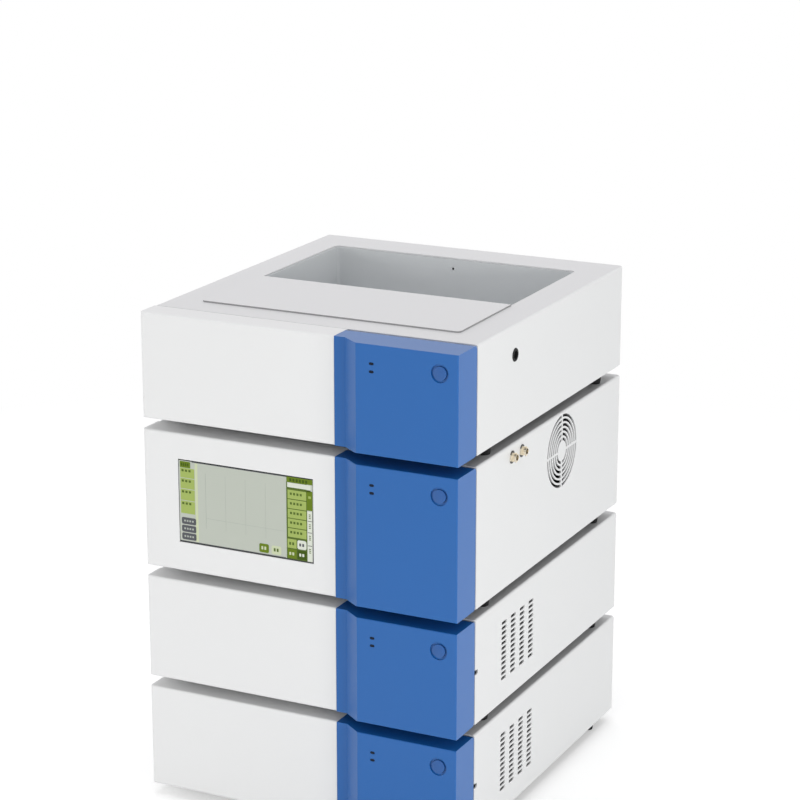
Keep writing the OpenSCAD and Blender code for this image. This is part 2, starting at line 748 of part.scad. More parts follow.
// One check valve, upward from its seat: a hexagon, a barrel and the line's fitting
module check_valve() {
    cylinder(r = 7.5, h = 7, $fn = 6);
    translate([0, 0, 6]) cylinder(r = 5.6, h = valve_l - 6);
    translate([0, 0, valve_l - 1]) cylinder(r = 4, h = fitting_l + 1, $fn = 6);
}

module check_valves(z) in_module(z) color(steel)
    for (x = head_xs, side = [0, 1])
        translate([x, valve_y, head_z]) mirror([0, 0, side])
            translate([0, 0, flat_z + touch]) check_valve();

line_start = head_z + flat_z + touch + valve_l + fitting_l;   // top of the outlet fittings
purge_top = head_z + purge_w / 2 + touch;

// A quarter bend in the plane of x and z, around its corner's centre
module elbow(turn) rotate([90, 0, 0]) rotate([0, 0, turn])
    rotate_extrude(angle = 90) translate([capillary_bend, 0]) circle(capillary_r, $fn = 24);

// A line that goes up from z0 at x0, across at z_run, and down to z1 at x1
module capillary(x0, x1, z0, z_run, z1) {
    translate([x0, 0, z0]) cylinder(r = capillary_r, h = z_run - capillary_bend - z0, $fn = 24);
    translate([x0 + capillary_bend, 0, z_run - capillary_bend]) elbow(90);
    rod_x(x0 + capillary_bend, 0, z_run, capillary_r, x1 - x0 - 2 * capillary_bend, 24);
    translate([x1 - capillary_bend, 0, z_run - capillary_bend]) elbow(0);
    translate([x1, 0, z1]) cylinder(r = capillary_r, h = z_run - capillary_bend - z1, $fn = 24);
}

run_1 = module_h - sheet_t - 3;
run_2 = run_1 - 3.4;
fitting_dx = 6;                       // from the purge valve's middle to each of its two fittings
fitting_top = purge_top + 7;

module capillaries(z) in_module(z) translate([0, valve_y, 0]) color(steel) {
    capillary(head_xs[0], purge_x + fitting_dx, line_start, run_1, fitting_top);
    capillary(head_xs[1], purge_x - fitting_dx, line_start, run_2, fitting_top);
}

// The purge valve's block on the bulkhead, with two line fittings and an outlet spout
module purge_valve(z) in_module(z) translate([purge_x, 0, head_z]) color(steel) difference() {
    union() {
        translate([-purge_w / 2, purge_block_y, -purge_w / 2]) cube([purge_w, purge_block_l, purge_w]);
        for (dx = [-fitting_dx, fitting_dx]) translate([dx, valve_y, purge_w / 2 - 1])
            cylinder(r = 4, h = fitting_top - touch - head_z - purge_w / 2 + 1, $fn = 6);
        translate([0, valve_y, -purge_w / 2 - 9]) cylinder(r = 4, h = 10);
    }
    rod_y(0, purge_block_y - cut, 0, knob_stem_r + knob_stem_gap, 20 + cut);
}

// Fluted knob with its stem in the purge valve
module purge_knob(z) in_module(z) translate([purge_x, 0, head_z]) color(dark) {
    flutes = 12;
    difference() {
        rod_y(0, knob_y, 0, knob_r, knob_l);
        for (i = [0:flutes - 1]) rotate([0, (i + 0.5) * 360 / flutes, 0])
            rod_y(knob_r + 0.8, knob_y - cut, 0, 1.8, knob_l - 4 + cut, 24);
        rod_y(0, knob_y - cut, 0, knob_r - 4, 1 + cut);
    }
    rod_y(0, knob_y + knob_l - 1, 0, knob_stem_r, 18);
}

// Cam housing and motor behind the bulkhead, on a foot plate
module drive(z) in_module(z) color([0.35, 0.36, 0.38]) {
    y = bulk_y + nose_l - touch + 0.2;
    x0 = head_xs[0] - 32;
    w = head_pitch + 64;
    depth = 84;
    motor_axis_x = x0 + w / 2;
    translate([x0 - 8, y + 4, sheet_t]) cube([w + 16, depth - 8, 5]);
    translate([x0, 0, sheet_t + 2]) along_y(y, depth)
        corner_rect(w, head_z - sheet_t - 2 + flange_r + 6, [0, 0, 8, 8]);
    rod_y(motor_axis_x, y + depth - 1, head_z, 28, 62);
    rod_y(motor_axis_x, y + depth - 1, head_z, 31, 6);
}

// Hinge ---------------------------------------------------------------------------

hinge_x = hinge_in;
hinge_y = fascia_d - hinge_in;
lug_t = 3;
lug_gap = 0.4;                        // from a lug to the door's top or bottom wall
lug_z = mould_t + lug_gap;
lug_r = hinge_in - mould_t - 0.5;
lug_w = 8;                            // width of a lug's arm
bracket_l = 26;                       // how far the bracket runs behind the door
pin_gap = 0.06;
pin_deep = mould_t - 0.7;             // how far a pin goes into the door's wall

// Lug in plan: an eye round the pin and an arm beside the door's edge
module lug_plan() difference() {
    union() {
        translate([hinge_x, hinge_y]) circle(lug_r);
        translate([hinge_x + 0.6, hinge_y - lug_r + 1]) square([lug_w, lug_r + hinge_in + seam + 2]);
        translate([bulk_x, cover_y + 0.6]) square([hinge_x + 0.6 + lug_w - bulk_x, bracket_l]);
    }
    translate([hinge_x, hinge_y]) circle(pin_r);
}

module hinge_bracket(z) in_module(z) color(steel) {
    for (low = [lug_z, module_h - lug_z - lug_t])
        translate([0, 0, low]) linear_extrude(lug_t) lug_plan();
    translate([bulk_x, cover_y + 0.6, sheet_t + touch])
        cube([2, bracket_l, module_h - lug_z - sheet_t - touch - 0.5]);
    translate([bulk_x, cover_y + 0.6, sheet_t + touch])
        cube([hinge_x + 0.6 + lug_w - bulk_x, bracket_l, lug_z - sheet_t]);
}

// Each door turns on two steel pins that stand in the bracket's lugs
module hinge_pins() color(steel)
    for (z = [pump_b_z, pump_a_z], side = [0, 1])
        in_module(z) translate([hinge_x, hinge_y, module_h / 2]) mirror([0, 0, side])
            translate([0, 0, -module_h / 2 + mould_t - pin_deep + 0.2])
                cylinder(r = pin_r, h = pin_deep + lug_gap + lug_t + 2);

// The white panel of a pump is the hinged side of its door
module pump_front_panel(z) front_panel(z, module_h, hinge_in) {
    for (low = [mould_t - pin_deep, module_h - mould_t])
        translate([hinge_x, hinge_y, low]) cylinder(r = pin_r + pin_gap, h = pin_deep);
    for (low = [lug_z, module_h - lug_z - lug_t])
        translate([-cut, hinge_y - 0.6, low - lug_gap])
            cube([hinge_x + 2 * cut, hinge_in + 0.6 + cut, lug_t + 2 * lug_gap]);
}

// Rear sockets and power supplies ----------------------------------------------------

inlet_body_w = 27;
inlet_body_h = 20;
dsub_body_w = 19;
dsub_body_h = 11;
inlet_deep = 16;                      // depth of the plug's recess behind the rear wall
supply_x = inlet_x - 150;             // left edge of the power supply

// Mains inlets: a flange on the rear wall and a body with the plug's recess
module mains_inlets() color(dark) for (z = [pump_b_z, pump_a_z, detector_z, tray_z])
    in_module(z) translate([inlet_x, 0, inlet_z]) difference() {
        union() {
            along_y(rear_y + touch / 2, 2.5) stadium(50, 24);
            along_y(rear_y - 20, 21) square([inlet_body_w, inlet_body_h], center = true);
        }
        along_y(rear_y - inlet_deep, 20) polygon([
            [-12, -8], [12, -8], [12, 3.5], [7.5, 8], [-7.5, 8], [-12, 3.5]]);
    }

// Data ports: a flanged nine-way socket in the rear wall
module data_ports() color(steel) for (z = [pump_b_z, pump_a_z, detector_z, tray_z])
    in_module(z) translate([port_x, 0, inlet_z]) {
        along_y(rear_y + touch / 2, 1) difference() {
            square([31, 12.6], center = true);
            for (x = [-12.5, 12.5]) translate([x, 0]) circle(1.6);
        }
        along_y(rear_y - 9, 9.5) square([dsub_body_w, dsub_body_h], center = true);
        along_y(rear_y + touch / 2 + 0.5, 5.2) polygon([
            [-8.4, 4], [8.4, 4], [7, -4], [-7, -4]]);
    }

// The switches of the tray and the detector
module power_switches() {
    power_switch(tray_z, module_h);
    power_switch(detector_z, detector_h);
}

// Open-frame power supplies beside the mains inlets
module power_supplies() color([0.55, 0.56, 0.5]) for (z = [pump_b_z, pump_a_z, detector_z, tray_z])
    in_module(z) {
        x = supply_x;
        depth = 34;
        translate([x, rear_y - sheet_t - 2 - depth, sheet_t]) cube([110, depth, 2]);
        translate([x + 4, rear_y - sheet_t - depth, sheet_t + 1]) cube([82, depth - 4, 26]);
        translate([x + 90, rear_y - sheet_t - depth, sheet_t + 1]) cube([14, depth - 4, 12]);
    }

tray_cover();
chassis(tray_z, module_h, true);  // tray_chassis
tray_front_panel();
control_panel(tray_z, module_h);  // tray_control_panel
power_button(tray_z, module_h);  // tray_power_button
indicators(tray_z, module_h);  // tray_indicators
tray_well();
tray_lid();
tube_grommet();
degasser();
detector_cover();
chassis(detector_z, detector_h, true);  // detector_chassis
detector_front_panel();
detector_display();
control_panel(detector_z, detector_h);  // detector_control_panel
power_button(detector_z, detector_h);  // detector_power_button
indicators(detector_z, detector_h);  // detector_indicators
fan_frame();
fan_rotor();
signal_sockets();
socket_washers();
optical_bench();
lamp_housing();
flow_cell();
pump_cover(pump_a_z);  // pump_a_cover
chassis(pump_a_z, module_h, false);  // pump_a_chassis
bulkhead(pump_a_z);  // pump_a_bulkhead
hinge_bracket(pump_a_z);  // pump_a_hinge_bracket
pump_front_panel(pump_a_z);  // pump_a_front_panel
control_panel(pump_a_z, module_h);  // pump_a_control_panel
power_button(pump_a_z, module_h);  // pump_a_power_button
indicators(pump_a_z, module_h);  // pump_a_indicators
power_switch(pump_a_z, module_h);  // pump_a_power_switch
heads(pump_a_z);  // pump_a_heads
check_valves(pump_a_z);  // pump_a_check_valves
capillaries(pump_a_z);  // pump_a_capillaries
purge_valve(pump_a_z);  // pump_a_purge_valve
purge_knob(pump_a_z);  // pump_a_purge_knob
drive(pump_a_z);  // pump_a_drive
pump_cover(pump_b_z);  // pump_b_cover
chassis(pump_b_z, module_h, false);  // pump_b_chassis
bulkhead(pump_b_z);  // pump_b_bulkhead
hinge_bracket(pump_b_z);  // pump_b_hinge_bracket
pump_front_panel(pump_b_z);  // pump_b_front_panel
control_panel(pump_b_z, module_h);  // pump_b_control_panel
power_button(pump_b_z, module_h);  // pump_b_power_button
indicators(pump_b_z, module_h);  // pump_b_indicators
power_switch(pump_b_z, module_h);  // pump_b_power_switch
heads(pump_b_z);  // pump_b_heads
check_valves(pump_b_z);  // pump_b_check_valves
capillaries(pump_b_z);  // pump_b_capillaries
purge_valve(pump_b_z);  // pump_b_purge_valve
purge_knob(pump_b_z);  // pump_b_purge_knob
drive(pump_b_z);  // pump_b_drive
feet();
mains_inlets();
data_ports();
hinge_pins();
power_switches();
power_supplies();
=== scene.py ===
import math

import bpy
import numpy as np
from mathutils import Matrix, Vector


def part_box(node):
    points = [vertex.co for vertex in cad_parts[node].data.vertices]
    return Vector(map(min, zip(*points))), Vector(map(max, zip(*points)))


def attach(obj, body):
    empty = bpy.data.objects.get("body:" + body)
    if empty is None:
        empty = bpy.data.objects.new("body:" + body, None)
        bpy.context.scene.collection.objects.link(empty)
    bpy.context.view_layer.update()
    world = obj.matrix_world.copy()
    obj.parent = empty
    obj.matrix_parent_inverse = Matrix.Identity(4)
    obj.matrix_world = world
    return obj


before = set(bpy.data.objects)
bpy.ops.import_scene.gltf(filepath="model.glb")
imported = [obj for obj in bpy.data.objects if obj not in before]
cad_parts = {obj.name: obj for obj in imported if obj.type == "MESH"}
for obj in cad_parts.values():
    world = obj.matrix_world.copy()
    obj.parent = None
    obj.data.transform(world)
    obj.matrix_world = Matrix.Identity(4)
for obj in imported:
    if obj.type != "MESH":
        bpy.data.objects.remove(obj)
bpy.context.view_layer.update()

# --- Folded covers ---------------------------------------------------------------
# Each case is one folded steel sheet with a baked coat of white enamel. The paint
# has a faint orange peel that only the gloss shows, and its tone hardly drifts.


def group_tree(name, inputs, outputs):
    """An empty shader group with its sockets, and its input and output nodes."""
    tree = bpy.data.node_groups.new(name, "ShaderNodeTree")
    for label, kind, default in inputs:
        sock = tree.interface.new_socket(name=label, in_out="INPUT", socket_type=kind)
        if default is not None:
            sock.default_value = default
    for label, kind in outputs:
        tree.interface.new_socket(name=label, in_out="OUTPUT", socket_type=kind)
    return tree, tree.nodes.new("NodeGroupInput"), tree.nodes.new("NodeGroupOutput")


def add_node(tree, kind, inputs=None, **settings):
    """A shader node with its settings, its sockets set to values or linked to other sockets."""
    made = tree.nodes.new(kind)
    for key, value in settings.items():
        setattr(made, key, value)
    for key, value in (inputs or {}).items():
        if isinstance(value, bpy.types.NodeSocket):
            tree.links.new(value, made.inputs[key])
        else:
            made.inputs[key].default_value = value
    return made


def surface_grain_group():
    """Fine bumps, a broad drift of tone and of gloss. Height is noise at the grain's own size."""
    tree, enter, leave = group_tree(
        "surface grain",
        [("Vector", "NodeSocketVector", None), ("Grain Scale", "NodeSocketFloat", 900.0),
         ("Tone", "NodeSocketColor", (0.8, 0.8, 0.8, 1.0)), ("Drift", "NodeSocketFloat", 0.02),
         ("Roughness", "NodeSocketFloat", 0.4), ("Roughness Drift", "NodeSocketFloat", 0.05)],
        [("Color", "NodeSocketColor"), ("Roughness", "NodeSocketFloat"),
         ("Height", "NodeSocketFloat")])
    fine = add_node(tree, "ShaderNodeTexNoise",
                    {"Vector": enter.outputs["Vector"], "Scale": enter.outputs["Grain Scale"],
                     "Detail": 2.0})
    broad = add_node(tree, "ShaderNodeTexNoise",
                     {"Vector": enter.outputs["Vector"], "Scale": 9.0, "Detail": 3.0})
    centred = add_node(tree, "ShaderNodeMath", {0: broad.outputs["Fac"], 1: 0.5},
                       operation="SUBTRACT")
    swing = add_node(tree, "ShaderNodeMath",
                     {0: centred.outputs[0], 1: enter.outputs["Drift"]}, operation="MULTIPLY")
    level = add_node(tree, "ShaderNodeMath", {0: swing.outputs[0], 1: 1.0}, operation="ADD")
    tone = add_node(tree, "ShaderNodeVectorMath",
                    {0: enter.outputs["Tone"], "Scale": level.outputs[0]}, operation="SCALE")
    gloss_swing = add_node(tree, "ShaderNodeMath",
                           {0: centred.outputs[0], 1: enter.outputs["Roughness Drift"],
                            2: enter.outputs["Roughness"]}, operation="MULTIPLY_ADD")
    tree.links.new(tone.outputs[0], leave.inputs["Color"])
    tree.links.new(gloss_swing.outputs[0], leave.inputs["Roughness"])
    tree.links.new(fine.outputs["Fac"], leave.inputs["Height"])
    return tree


surface_grain = surface_grain_group()


def finish(name, tone, roughness, grain_scale, bump, drift=0.02, rough_drift=0.06, metallic=0.0,
           specular=0.5, stretch=(1.0, 1.0, 1.0)):
    """A material whose tone and gloss drift a little, with its grain as a shallow bump."""
    mat = bpy.data.materials.new(name)
    mat.use_nodes = True
    tree = mat.node_tree
    shader = tree.nodes["Principled BSDF"]
    shader.inputs["Metallic"].default_value = metallic
    shader.inputs["Specular IOR Level"].default_value = specular
    where = add_node(tree, "ShaderNodeTexCoord")
    laid = add_node(tree, "ShaderNodeMapping",
                    {"Vector": where.outputs["Object"], "Scale": stretch})
    grain = add_node(tree, "ShaderNodeGroup", node_tree=surface_grain)
    tree.links.new(laid.outputs[0], grain.inputs["Vector"])
    for key, value in (("Grain Scale", grain_scale), ("Tone", (*tone, 1.0)), ("Drift", drift),
                       ("Roughness", roughness), ("Roughness Drift", rough_drift)):
        grain.inputs[key].default_value = value
    relief = add_node(tree, "ShaderNodeBump",
                      {"Height": grain.outputs["Height"], "Strength": 1.0, "Distance": bump})
    tree.links.new(grain.outputs["Color"], shader.inputs["Base Color"])
    tree.links.new(grain.outputs["Roughness"], shader.inputs["Roughness"])
    tree.links.new(relief.outputs["Normal"], shader.inputs["Normal"])
    return mat


def dress(material, *names):
    """Gives CAD nodes their finish, by name."""
    for name in names:
        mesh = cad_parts[name].data
        mesh.materials.clear()
        mesh.materials.append(material)


modules = ("tray", "detector", "pump_a", "pump_b")
pumps = ("pump_a", "pump_b")
white_enamel = finish("white enamel", (0.69, 0.69, 0.70), 0.40, 420.0, 0.00002)
dress(white_enamel, *[m + "_cover" for m in modules])

# --- Loose plate on the tray -------------------------------------------------------
# A white sheet that drops into the opening by a lip glued underneath. Its side faces
# are laid dark grey as painted shade, for the shadow line along the plate's edges.


def second_tone(mat, tone, output, axis, low, high):
    """Lays a second tone where a coordinate or the surface's direction lies between two limits:
    where its distance from their middle is under half their span. Returns that mask."""
    middle, half_span = (low + high) / 2, (high - low) / 2
    tree = mat.node_tree
    shader = tree.nodes["Principled BSDF"]
    first = shader.inputs["Base Color"].links[0].from_socket
    where = add_node(tree, "ShaderNodeTexCoord")
    parts = add_node(tree, "ShaderNodeSeparateXYZ", {0: where.outputs[output]})
    off = add_node(tree, "ShaderNodeMath", {0: parts.outputs[axis], 1: middle},
                   operation="SUBTRACT")
    size = add_node(tree, "ShaderNodeMath", {0: off.outputs[0]}, operation="ABSOLUTE")
    within = add_node(tree, "ShaderNodeMath", {0: size.outputs[0], 1: half_span},
                      operation="LESS_THAN")
    shown = add_node(tree, "ShaderNodeMix", data_type="RGBA")
    tree.links.new(within.outputs[0], shown.inputs["Factor"])
    tree.links.new(first, shown.inputs["A"])
    shown.inputs["B"].default_value = (*tone, 1.0)
    tree.links.new(shown.outputs["Result"], shader.inputs["Base Color"])
    return within.outputs[0]


lid_painted_edge_shade = finish("lid with painted edge shade", (0.69, 0.69, 0.70), 0.40, 420.0, 0.00002)
# Painted shade: side faces, whose normal lies near level, take a dark grey.
second_tone(lid_painted_edge_shade, (0.30, 0.30, 0.305), "Normal", "Z", -0.5, 0.5)
dress(lid_painted_edge_shade, "tray_lid")

# --- Pans, rear walls, bulkheads and hinge brackets ---------------------------------
# Folded from zinc-plated sheet, left bare inside the case, with the faint cloud of
# the plating. Faces that point down are laid near-black and not metallic: painted shade
# that darkens the gaps between the modules.

zinc_look = {"tone": (0.46, 0.47, 0.48), "roughness": 0.36, "grain_scale": 160.0, "bump": 0.000015,
             "drift": 0.12, "rough_drift": 0.25, "metallic": 1.0}
zinc_sheet = finish("zinc-plated sheet", **zinc_look)
dress(zinc_sheet, *[p + part for p in pumps for part in ("_bulkhead", "_hinge_bracket")])
pan_painted_shade_below = finish("pan with painted shade below", **zinc_look)
# Painted shade: the downward faces of the pans go near-black.
painted_shade_below = second_tone(pan_painted_shade_below, (0.03, 0.03, 0.032), "Normal", "Z", -1.5, -0.5)
bare_metal = add_node(pan_painted_shade_below.node_tree, "ShaderNodeMath", {0: 1.0, 1: painted_shade_below},
                      operation="SUBTRACT")
pan_painted_shade_below.node_tree.links.new(bare_metal.outputs[0],
                               pan_painted_shade_below.node_tree.nodes["Principled BSDF"].inputs["Metallic"])
dress(pan_painted_shade_below, *[m + "_chassis" for m in modules])

# --- White front panels --------------------------------------------------------------
# Moulded shells with a satin face, a shade brighter than the enamel behind them. On the
# pumps they are the left part of the door.

white_moulding = finish("white moulding", (0.77, 0.772, 0.775), 0.42, 700.0, 0.000015)
dress(white_moulding, *[m + "_front_panel" for m in modules])

# --- Blue control panels and power buttons ---------------------------------------------
# One moulding of through-coloured blue plastic with a fine spark-eroded texture. The
# button is from the same resin, with a smoother dome.

blue_moulding = finish("blue moulding", (0.009, 0.111, 0.378), 0.315, 1100.0, 0.00002, drift=0.04)
blue_button = finish("blue button", (0.016, 0.092, 0.31), 0.315, 1100.0, 0.000008, drift=0.03)
dress(blue_moulding, *[m + "_control_panel" for m in modules])
dress(blue_button, *[m + "_power_button" for m in modules])

# --- Indicator lamps -------------------------------------------------------------------
# Smoked lenses that look black while the lamps behind them are off. They are polished
# smoother than the panel around them.

smoked_lens = finish("smoked lens", (0.003, 0.008, 0.022), 0.16, 300.0, 0.000005, specular=0.2)
dress(smoked_lens, *[m + "_indicators" for m in modules])

# --- Touch display ---------------------------------------------------------------------
# A seven-inch panel behind a black-edged glass. Its picture is fields of green and grey
# with plain marks, drawn as closed tiles in thin layers on the glass.

display_glass = finish("display glass", (0.012, 0.014, 0.013), 0.14, 500.0, 0.000002)
dress(display_glass, "detector_display")

picture_w, picture_h = 0.1540, 0.0862
glass_low, glass_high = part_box("detector_display")
glass_set_back = 0.0005      # from the white panel's face to the glass
glass_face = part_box("detector_front_panel")[0].y + glass_set_back
picture_x = (glass_low.x + glass_high.x - picture_w) / 2
picture_top = (glass_low.z + glass_high.z + picture_h) / 2
layer_t = 0.00005


def srgb(red, green, blue):
    """Linear colour of an eight-bit display colour."""
    parts = np.array([red, green, blue]) / 255.0
    return tuple(np.where(parts <= 0.04045, parts / 12.92, ((parts + 0.055) / 1.055) ** 2.4))


def tile_outline(left, top, right, bottom, corner, steps=4):
    """Corners of a rounded rectangle on the picture, in metres: four arcs, each a quarter turn."""
    x0, x1 = picture_x + left * picture_w, picture_x + right * picture_w
    z0, z1 = picture_top - bottom * picture_h, picture_top - top * picture_h
    radius = min(corner, (x1 - x0) / 2.01, (z1 - z0) / 2.01)
    turn = np.linspace(0, math.pi / 2, steps + 1)
    quarters = [(x1 - radius, z1 - radius, 0), (x0 + radius, z1 - radius, 1),
                (x0 + radius, z0 + radius, 2), (x1 - radius, z0 + radius, 3)]
    return np.concatenate([
        np.c_[cx + radius * np.cos(turn + q * math.pi / 2),
              cz + radius * np.sin(turn + q * math.pi / 2)]
        for cx, cz, q in quarters])


def new_piece(name, verts, faces, materials):
    """A piece of the scene's own: its mesh lies in the shared frame, its object at the origin."""
    mesh = bpy.data.meshes.new(name)
    mesh.from_pydata(verts.tolist(), [], faces)
    for mat in materials:
        mesh.materials.append(mat)
    piece = bpy.data.objects.new(name, mesh)
    bpy.context.scene.collection.objects.link(piece)
    return piece


def picture_tiles(tiles, name, materials):
    """Closed slabs: each outline has a back sunk in the glass and a face as high as its layer."""
    sunk = 0.2 * layer_t
    points, faces, slots = [], [], []
    for left, top, right, bottom, corner, layer, finish_index in tiles:
        outline = tile_outline(left, top, right, bottom, corner)
        n = len(outline)
        start = sum(len(p) for p in points)
        back = np.c_[outline[:, 0], np.full(n, glass_face - sunk), outline[:, 1]]
        front = np.c_[outline[:, 0], np.full(n, glass_face - layer * layer_t), outline[:, 1]]
        points += [back, front]
        ring = np.arange(n)
        after = (ring + 1) % n
        faces.append(list(start + ring[::-1]))
        faces.append(list(start + n + ring))
        faces += np.c_[start + ring, start + after, start + n + after, start + n + ring].tolist()
        slots += [finish_index] * (n + 2)
    piece = new_piece(name, np.concatenate(points), faces, materials)
    piece.data.polygons.foreach_set("material_index", slots)
    return piece


def screen_finish(name, tone):
    """Lit liquid crystal under a matt touch film: a flat tone with the pixels' faint grid."""
    return finish(name, tone, 0.35, 2500.0, 0.000002, drift=0.03, specular=0.14)


GROUND, PALE, LIGHT, MID, DARK, GREY, WHITE, MARK, LINE = range(9)
screen_tones = [("ground", (185, 190, 180)), ("pale", (198, 206, 172)),
                ("light green", (159, 177, 97)), ("mid green", (100, 122, 30)),
                ("dark green", (62, 84, 18)), ("grey", (88, 90, 94)), ("white", (214, 218, 206)),
                ("mark", (84, 104, 44)), ("line", (170, 176, 168))]
screen_finishes = [screen_finish("screen " + label, srgb(*levels))
                   for label, levels in screen_tones]
dash_share, dash_corner = 0.62, 0.0003


def marks(left, right, middle, count, height, layer, finish_index):
    """A row of plain dashes, evenly spaced, where a caption would be."""
    pitch = (right - left) / count
    return [(left + i * pitch, middle - height / 2, left + (i + dash_share) * pitch,
             middle + height / 2, dash_corner, layer, finish_index) for i in range(count)]


tiles = [(0.0, 0.0, 1.0, 1.0, 0.0, 1, GROUND), (0.122, 0.012, 0.142, 0.985, 0.0, 2, PALE),
         (0.0, 0.992, 0.80, 1.0, 0.0, 2, GREY), (0.10, 0.0, 0.81, 0.008, 0.0, 2, GREY)]
# left column: a tab, four cells and three buttons
tiles += [(0.008, 0.008, 0.088, 0.085, 0.0008, 2, MID)]
tiles += marks(0.018, 0.08, 0.047, 4, 0.035, 3, DARK)
cell_tops = [0.085, 0.213, 0.347, 0.492, 0.655]
for top, bottom in zip(cell_tops, cell_tops[1:]):
    tiles += [(0.01, top + 0.004, 0.118, bottom - 0.004, 0.0003, 2, LIGHT)]
    tiles += marks(0.02, 0.10, top + 0.035, 3, 0.028, 3, MARK)
for top in (0.70, 0.797, 0.893):
    tiles += [(0.014, top, 0.124, top + 0.084, 0.0018, 2, GREY)]
    tiles += marks(0.032, 0.112, top + 0.042, 4, 0.022, 3, LINE)
# middle: a faint base line and frame, and two small buttons
tiles += [(0.20, 0.672, 0.79, 0.676, 0.0, 2, LINE), (0.20, 0.12, 0.203, 0.80, 0.0, 2, LINE)]
tiles += [(x, 0.12, x + 0.002, 0.80, 0.0, 2, LINE) for x in (0.35, 0.50, 0.65)]
tiles += [(0.600, 0.868, 0.672, 0.978, 0.0018, 2, MID)]
tiles += marks(0.616, 0.660, 0.922, 2, 0.04, 3, PALE)
tiles += [(0.692, 0.872, 0.764, 0.978, 0.0018, 2, PALE)]
tiles += marks(0.708, 0.752, 0.922, 2, 0.04, 3, MARK)
# right column: a header, a pale box, five cells and four buttons
tiles += [(0.808, 0.0, 0.998, 0.062, 0.0, 2, MID)] + marks(0.83, 0.97, 0.034, 6, 0.036, 3, DARK)
tiles += [(0.806, 0.062, 0.956, 1.0, 0.0, 2, MARK), (0.814, 0.068, 0.985, 0.125, 0.0, 3, WHITE),
          (0.956, 0.13, 0.985, 0.15, 0.0, 2, MARK)]
for i in range(5):
    top = 0.152 + i * 0.117
    tiles += [(0.816, top + 0.004, 0.952, top + 0.110, 0.0, 3, LIGHT)]
    tiles += marks(0.832, 0.93, top + 0.05, 4, 0.03, 4, MARK)
tiles += [(0.812, 0.755, 0.878, 0.865, 0.0, 3, LIGHT),
          (0.884, 0.755, 0.951, 0.865, 0.002, 3, WHITE), (0.812, 0.878, 0.878, 0.99, 0.0, 3, MID),
          (0.884, 0.878, 0.951, 0.99, 0.0, 3, DARK)]
for left, middle, tone in ((0.824, 0.81, MARK), (0.898, 0.81, GREY),
                           (0.824, 0.934, PALE), (0.898, 0.934, WHITE)):
    tiles += marks(left, left + 0.044, middle, 2, 0.036, 4, tone)
# tabs at the right edge
tiles += [(0.956, 0.14, 0.998, 0.375, 0.0006, 2, MID), (0.968, 0.20, 0.986, 0.23, 0.0003, 3, LIGHT),
          (0.958, 0.385, 0.996, 0.995, 0.0, 2, WHITE), (0.955, 0.375, 0.958, 1.0, 0.0, 3, DARK),
          (0.996, 0.375, 1.0, 1.0, 0.0, 3, GREY)]
tiles += [(0.962, top, 0.992, top + 0.008, 0.0, 3, GREY) for top in (0.50, 0.64, 0.80)]
for top in (0.42, 0.54, 0.68, 0.84):
    tiles += [(0.970, top + i * 0.022, 0.984, top + i * 0.022 + 0.010, 0.0, 3, MARK)
              for i in range(3)]
picture = picture_tiles(tiles, "display_picture", screen_finishes)
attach(picture, "stack")

# --- Well and grommet ------------------------------------------------------------------
# The tub is spot-welded sheet with the same enamel, its tone laid a little greyer and
# cooler as painted shade for the shade deep in the well. The grommet and the feet are
# black moulded rubber with a dusty matt face.

# Painted shade: the enamel's tone, laid greyer and cooler for the shade in the well.
well_enamel_painted_shade = finish("well enamel with painted shade", (0.65, 0.668, 0.68), 0.45, 420.0, 0.00002)
rubber = finish("black rubber", (0.012, 0.012, 0.013), 0.62, 1500.0, 0.00003, drift=0.25,
                specular=0.2)
dress(well_enamel_painted_shade, "tray_well")
dress(rubber, "tube_grommet", "feet")

# --- Fan and black mouldings ------------------------------------------------------------
# Glass-filled black plastic: the fan, the purge knobs, the degasser's chamber and the
# mains inlets.

black_moulding = finish("black moulding", (0.018, 0.018, 0.02), 0.48, 900.0, 0.00002, drift=0.15)
dress(black_moulding, "fan_frame", "fan_rotor", "degasser", "mains_inlets",
      *[p + "_purge_knob" for p in pumps])

# --- Signal sockets --------------------------------------------------------------------
# Turned brass with a light gold flash, on oval flanges of the same plating. Each
# flange is laid near-black above and below a bright band through its middle.

socket_low, socket_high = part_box("socket_washers")
socket_z = (socket_low.z + socket_high.z) / 2
plated_flange = finish("plated flange", (0.70, 0.64, 0.53), 0.36, 250.0, 0.000008, drift=0.08)
bright_half, past_flange = 0.0032, 0.02
# The flange is near-black outside a band 6.4 mm high through its middle.
for low, high in ((-past_flange, -bright_half), (bright_half, past_flange)):
    second_tone(plated_flange, (0.012, 0.012, 0.012), "Object", "Z", socket_z + low,
                socket_z + high)
dress(plated_flange, "socket_washers")
plated_brass = finish("plated brass", (0.86, 0.77, 0.60), 0.30, 250.0, 0.000008, drift=0.08,
                      metallic=1.0)
dress(plated_brass, "signal_sockets")

# --- Pump heads, valves, lines and pins ---------------------------------------------------
# Stainless steel: the heads are ground, the valves and fittings turned, the lines drawn.

ground_steel = finish("ground stainless", (0.62, 0.62, 0.63), 0.26, 260.0, 0.00001, drift=0.08,
                      rough_drift=0.15, metallic=1.0, stretch=(1.0, 1.0, 0.12))
turned_steel = finish("turned stainless", (0.60, 0.60, 0.61), 0.20, 500.0, 0.000008, drift=0.06,
                      metallic=1.0)
dress(ground_steel, *[p + part for p in pumps for part in ("_heads", "_purge_valve")], "flow_cell")
dress(turned_steel, "hinge_pins", "data_ports",
      *[p + part for p in pumps for part in ("_check_valves", "_capillaries")])

# --- Castings, boards and supplies ----------------------------------------------------------
# Drives and lamp housing are painted castings, the bench is blasted aluminium, the
# switches sit on green boards, and the supplies are plain folded boxes.

